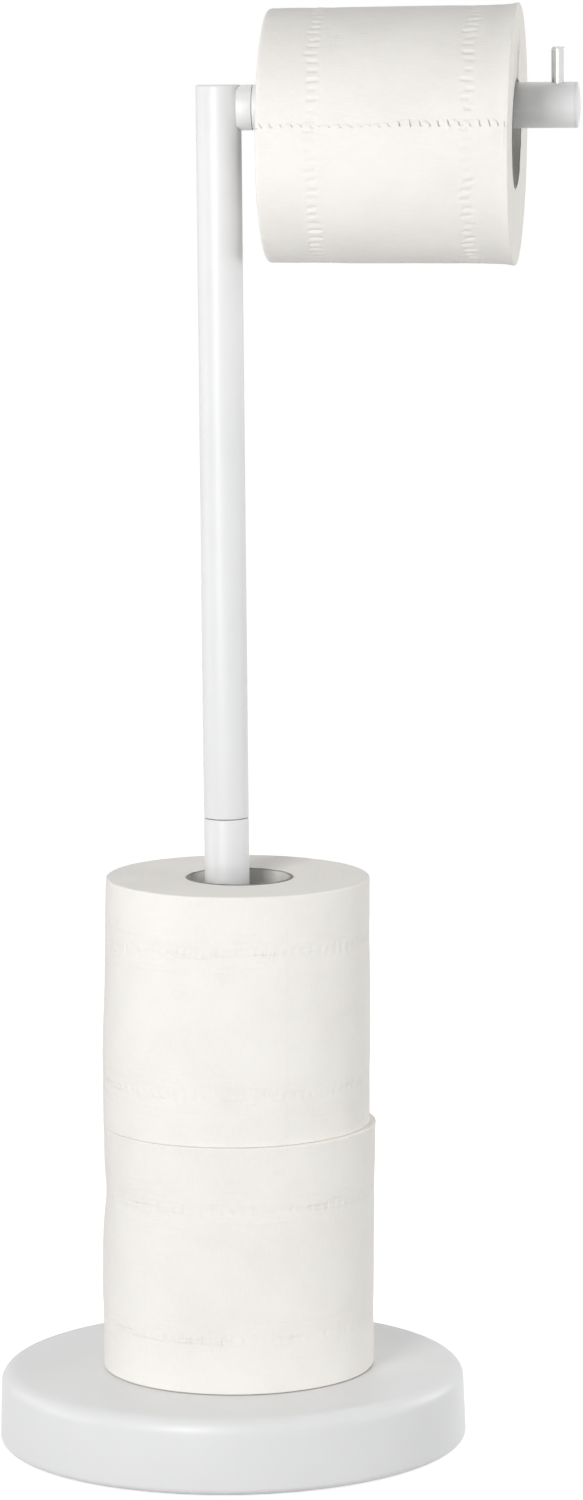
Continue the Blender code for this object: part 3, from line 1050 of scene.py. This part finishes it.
def ripples(rng, count, angle, height, tallest):
    # sum of slow waves round and along the roll, about 1 high in all
    total = np.zeros_like(angle)
    for wave in range(count):
        turns, along = rng.integers(1, 9), rng.uniform(-1.6, 1.6)
        phase = rng.uniform(0, fullTurn)
        total += np.sin(turns * angle + along * fullTurn * height / tallest + phase) / (1 + 0.3 * wave)
    return total / count**0.5


def gap(angle, degrees):
    # shortest way round from a direction, in degrees
    return (np.degrees(angle) - degrees + 180) % 360 - 180


def surfaceShift(roll, angle, height, length):
    # how far the wound surface stands from a true cylinder, before the embossing
    rng = np.random.default_rng(roll["seed"])
    climb = (angle - math.radians(roll["seam"])) % fullTurn / fullTurn
    change = -winding["sheetStep"] * climb
    near, far = roll["swell"]
    change += near + (far - near) * height / length
    for place in roll["bandPlaces"]:
        change -= roll["bandDip"] * np.exp(-(((height - place) / (emboss["bandWidth"] * 0.9)) ** 2))
    for degrees, place, wide, tall, out in roll["bulges"]:
        change += out * np.exp(-((gap(angle, degrees) / wide) ** 2) - ((height - place) / tall) ** 2)
    change += roll["wobble"] * ripples(rng, 9, angle, height, length)
    change += roll["flare"] * smoothStep(height, length - winding["flareReach"], length) ** 2
    return change


def puckers(roll, angle, height, radius):
    # soft folds pressed in two bands round the roll, no two alike
    rng = np.random.default_rng(roll["seed"] + 1)
    count = round(fullTurn * radius / emboss["pitch"])
    turn = angle / fullTurn * count
    index = turn.astype(int) % count
    pressed = np.zeros_like(angle)
    for place in roll["bandPlaces"]:
        depth, shift, reach, slant, aside = (
            rng.uniform(low, high, count)[index] for low, high in emboss["spreads"].values()
        )
        away = (height - place) / (emboss["bandWidth"] / 2) - aside
        phase = turn % 1 - 0.5 + shift + 0.3 * slant * away
        valley = np.exp(-((phase / emboss["valleyWidth"]) ** 2))
        puff = np.exp(-(((np.abs(phase) - emboss["puffPlace"]) / emboss["puffWidth"]) ** 2))
        window = 1 - smoothStep(np.abs(away), reach * 0.5, reach)
        pressed += (valley - emboss["puffShare"] * puff) * window * depth
    return pressed * roll["embossShare"]


def slide(roll, length, height, radius, angle):
    # how the layers have slid: along the core as the ends lean, and sideways between the ends
    share = np.clip(height / length, 0, 1)
    x, y = radius * np.cos(angle), radius * np.sin(angle)
    along = 0
    for weight, (lift, slopeX, slopeY) in zip((1 - share, share), roll["ends"]):
        along = along + weight * (lift + slopeX * x + slopeY * y)
    (nearX, nearY), (farX, farY) = roll["drift"]
    coreX, coreY = roll["coreDrift"]
    reach = coreTube["reach"]
    inner = share * (1 - smoothStep(radius, reach, reach + coreTube["reachFade"]))
    x = x + nearX + (farX - nearX) * share + coreX * inner
    y = y + nearY + (farY - nearY) * share + coreY * inner
    return height + along, np.hypot(x, y), np.arctan2(y, x)


def floatOnPoints(piece, name, values):
    piece.data.attributes.new(name, "FLOAT", "POINT").data.foreach_set("value", values)


def cornerPoints(piece):
    # the point under each corner of the faces
    corners = np.zeros(len(piece.data.loops), dtype=int)
    piece.data.loops.foreach_get("vertex_index", corners)
    return corners


def drawWrap(piece, across, along):
    # one pair of metres for each corner of the faces
    layer = piece.data.uv_layers.new(name="wrap")
    layer.data.foreach_set("uv", np.stack([across, along], 1).ravel())


def wrapRound(piece, length, outer, seam, height, radius, angle):
    # u runs round the roll from the seam, and v along its section
    corners = cornerPoints(piece)
    counts = np.zeros(len(piece.data.polygons), dtype=int)
    piece.data.polygons.foreach_get("loop_total", counts)
    turn = (angle[corners] - seam) % fullTurn
    face = np.repeat(np.arange(len(counts)), counts)
    most = np.zeros(len(counts))
    np.maximum.at(most, face, turn)
    turn = np.where(most[face] - turn > math.pi, turn + fullTurn, turn)
    inwards = outer - radius
    section = np.where(height < length / 2, height - inwards, height + inwards)
    drawWrap(piece, turn * outer, section[corners])


def paperOutline(roll, space, bore):
    lowRim, highRim, outer, length = roll["lowRim"], roll["highRim"], space.radius, space.length
    rows = winding["faceRows"]
    near, far = winding["boreRows"]
    outline = [(bore, length * 0.5), (bore, far), (bore, near), (bore, 0)]
    outline += [(bore + (outer - lowRim - bore) * (row / rows) ** 0.9, 0) for row in range(1, rows)]
    outline += bend(outer - lowRim, lowRim, lowRim, -90, 0, 5)
    sideRows = bandRows(lowRim, length - highRim, roll["bandPlaces"])
    outline += [(outer, height) for height in sideRows[1:-1]]
    outline += bend(outer - highRim, length - highRim, highRim, 0, 90, 5)
    shares = [(row / rows) ** 0.9 for row in range(rows - 1, 0, -1)]
    outline += [(bore + (outer - highRim - bore) * share, length) for share in shares]
    return outline + [(bore, length), (bore, length - near), (bore, length - far)]


def makePaper(name, roll, space):
    outer, length = space.radius, space.length
    bore = space.coreRadius + winding["coreGap"]
    outline = paperOutline(roll, space, bore)
    piece = turnOutline(name + "_wound", outline, roll["steps"], space.origin, space.axis, space.first)

    height, radius, angle = space.read(piece)
    seam = math.radians(roll["seam"])
    column = fullTurn / roll["steps"]
    angle = (np.round((angle - seam) / column) * column + seam) % fullTurn  # one column lies on the seam
    wrapRound(piece, length, outer, seam, height, radius, angle)
    fadeStart, fadeEnd = winding["endFade"]
    rim = max(roll["lowRim"], roll["highRim"])
    floatOnPoints(piece, "endShare", 1 - smoothStep(radius, outer - rim - fadeStart, outer - fadeEnd))

    inside = np.clip((radius - bore) / (outer - bore), 0, 1)
    pressed = puckers(roll, angle, height, outer) * (radius > outer - 0.0001)
    # this pressed depth also drives a painted shade in the embossed valleys of the material
    floatOnPoints(piece, "pressed", np.clip(pressed, 0, 1))
    change = inside**3 * surfaceShift(roll, angle, height, length)
    newRadius = radius + change - emboss["depth"] * pressed

    # the layers don't end level: the faces ripple, and sink a little towards the core
    rng = np.random.default_rng(roll["seed"] + 2)
    ringShift = sum(
        np.sin(radius * rng.uniform(300, 2400) + rng.uniform(0, 6)) * rng.uniform(0.2, 1) for wave in range(7)
    )
    face = (1 - inside**6) * (inside > 0.02)
    atEnd = smoothStep(height, length * 0.4, length * 0.6) * 2 - 1
    newHeight = height - atEnd * winding["faceRipple"] * (0.6 + 0.25 * ringShift) * face
    newHeight -= atEnd * winding["sink"] * (1 - inside) ** 2

    # the column before the seam moves up to it, so that the sheet's step is a thin wall there
    fromStep = np.abs((angle - (seam - column) + math.pi) % fullTurn - math.pi)
    angle = np.where(fromStep < column * 0.4, seam - winding["stepWidth"] / outer, angle)
    space.write(piece, *slide(roll, length, newHeight, newRadius, angle))
    paper = tissue(name + "Tissue", roll, outer)
    dress(piece, paper, roll["body"], "tissue", name + "_paper", angle=60)


tail = {
    "reach": 0.014,  # how much of the outer sheet's end is laid over the roll
    "rows": 26,
    "rowStep": 0.0005,
    "margin": 0.0015,  # how far it stays from the roll's ends
    "thickness": 0.00014,
    "lift": 0.00038,
    "liftFade": 0.0035,
    "looseness": 0.00006,
    "sink": 0.00010,  # how deep the laid end goes into the roll
    "openFrom": (0.46, 0.58),  # shares of the length, from where the torn edge stands off the roll
    "shortTabs": (0.14, 0.20),
    "tabShare": 0.62,
    "tabFade": 0.0012,
    "ragged": 0.00025,
}


def tornEdge(rng, roll, height, length, openEnd):
    # how far the sheet's edge stands out: small tabs left between the cuts, and a ragged line
    beat = (height / tissueLook["tabPitch"] + 0.1 * np.sin(height * 260)) % 1
    share = tail["tabShare"]
    tabs = smoothStep(beat, 0.0, 0.1) * (1 - smoothStep(beat, share, share + 0.1))
    first, last = (length * place for place in tail["shortTabs"])
    longTabs = 0.35 + 0.65 * openEnd + 0.3 * (1 - smoothStep(height, first, last))
    ragged = tail["ragged"] * np.sin(height * 1900 + rng.uniform(0, 6)) * np.sin(height * 730)
    return tabs * roll["tabs"] * longTabs * (0.8 + 0.2 * np.sin(height * 411)) + ragged


def makeTail(name, roll, space):
    # the outer sheet's last stretch, torn along its perforation
    outer, length, laid = space.radius, space.length, tail["reach"]
    columns = int((length - 2 * tail["margin"]) / tail["rowStep"])
    bpy.ops.object.select_all(action="DESELECT")
    bpy.ops.mesh.primitive_grid_add(x_subdivisions=columns, y_subdivisions=tail["rows"], size=1)
    strip = bpy.context.object
    strip.name = strip.data.name = name + "_tail"
    points = pointsOf(strip)
    alongShare, back = points[:, 0] + 0.5, (points[:, 1] + 0.5) ** 1.7  # rows are closest at the torn edge
    rng = np.random.default_rng(roll["seed"] + 3)
    height = tail["margin"] + (length - 2 * tail["margin"]) * alongShare
    openEnd = smoothStep(height, *(length * share for share in tail["openFrom"]))
    edge = tornEdge(rng, roll, height, length, openEnd)
    fromSeam = back * laid - edge * np.exp(-back * laid / tail["tabFade"])
    angle = math.radians(roll["seam"]) + fromSeam / outer

    puff = np.clip(0.55 + 0.45 * ripples(rng, 5, alongShare * 9, height, length), 0.15, 1.3)
    lift = tail["lift"] * puff * np.exp(-back * laid / tail["liftFade"]) * (0.2 + 0.8 * openEnd)
    lift += tail["looseness"] * (1 - smoothStep(back, 0.5, 0.95)) - tail["sink"] * smoothStep(back, 0.5, 1.0)
    wound = math.radians(roll["seam"]) + np.maximum(fromSeam, 0.00001) / outer
    pressed = puckers(roll, wound, height, outer)
    change = surfaceShift(roll, wound, height, length) - emboss["depth"] * pressed
    space.write(strip, *slide(roll, length, height, outer + change + lift, angle))
    corners = cornerPoints(strip)
    drawWrap(strip, (0.001 + back * laid)[corners], height[corners])
    floatOnPoints(strip, "endShare", np.zeros_like(height))
    floatOnPoints(strip, "pressed", np.clip(pressed, 0, 1))

    editAll(bpy.ops.mesh.normals_make_consistent, inside=False)
    sample = strip.data.vertices[len(strip.data.vertices) // 2]
    outwards = (sample.co - space.origin) - space.axis * (sample.co - space.origin).dot(space.axis)
    if sample.normal.dot(outwards) < 0:
        editAll(bpy.ops.mesh.flip_normals)
    applyModifier(strip, "SOLIDIFY", thickness=tail["thickness"], offset=0)
    dress(strip, bpy.data.materials[name + "Tissue"], roll["body"], "tissue", angle=60)


def makeCore(name, roll, space):
    outer, length = space.coreRadius, space.length
    bore, back = outer - coreTube["wall"], coreTube["setBack"]
    rows = [length * share for share in tubeRows]
    rounding = coreTube["wall"] * 0.3
    outline = [(bore, height) for height in reversed(rows)] + [(bore, back + 2 * rounding), (bore, back)]
    outline += bend(outer - rounding, back + rounding, rounding, -90, 0, 3)
    outline += [(outer, height) for height in rows]
    outline += bend(outer - rounding, length - back - rounding, rounding, 0, 90, 3)
    outline += [(bore, length - back), (bore, length - back - 2 * rounding)]
    steps = coreTube["steps"]
    core = turnOutline(name + "_board_core", outline, steps, space.origin, space.axis, space.first)

    height, radius, angle = space.read(core)
    wrapRound(core, length, outer, 0, height, radius, angle)
    rng = np.random.default_rng(roll["seed"] + 4)
    cutEdge = np.abs(height - length / 2) > length / 2 - back - 1.5 * rounding
    floatOnPoints(core, "cutEnd", cutEdge.astype(float))
    fray = coreTube["fray"] * ripples(rng, 12, angle * 3, height, length) * cutEdge
    space.write(core, *slide(roll, length, height + fray, radius, angle))
    dress(core, board(name + "Board"), roll["body"], "cardboard", name + "_core")


for name, roll in rolls.items():
    space = RollSpace(name)
    makePaper(name, roll, space)
    makeTail(name, roll, space)
    makeCore(name, roll, space)
print("paper rolls wound")
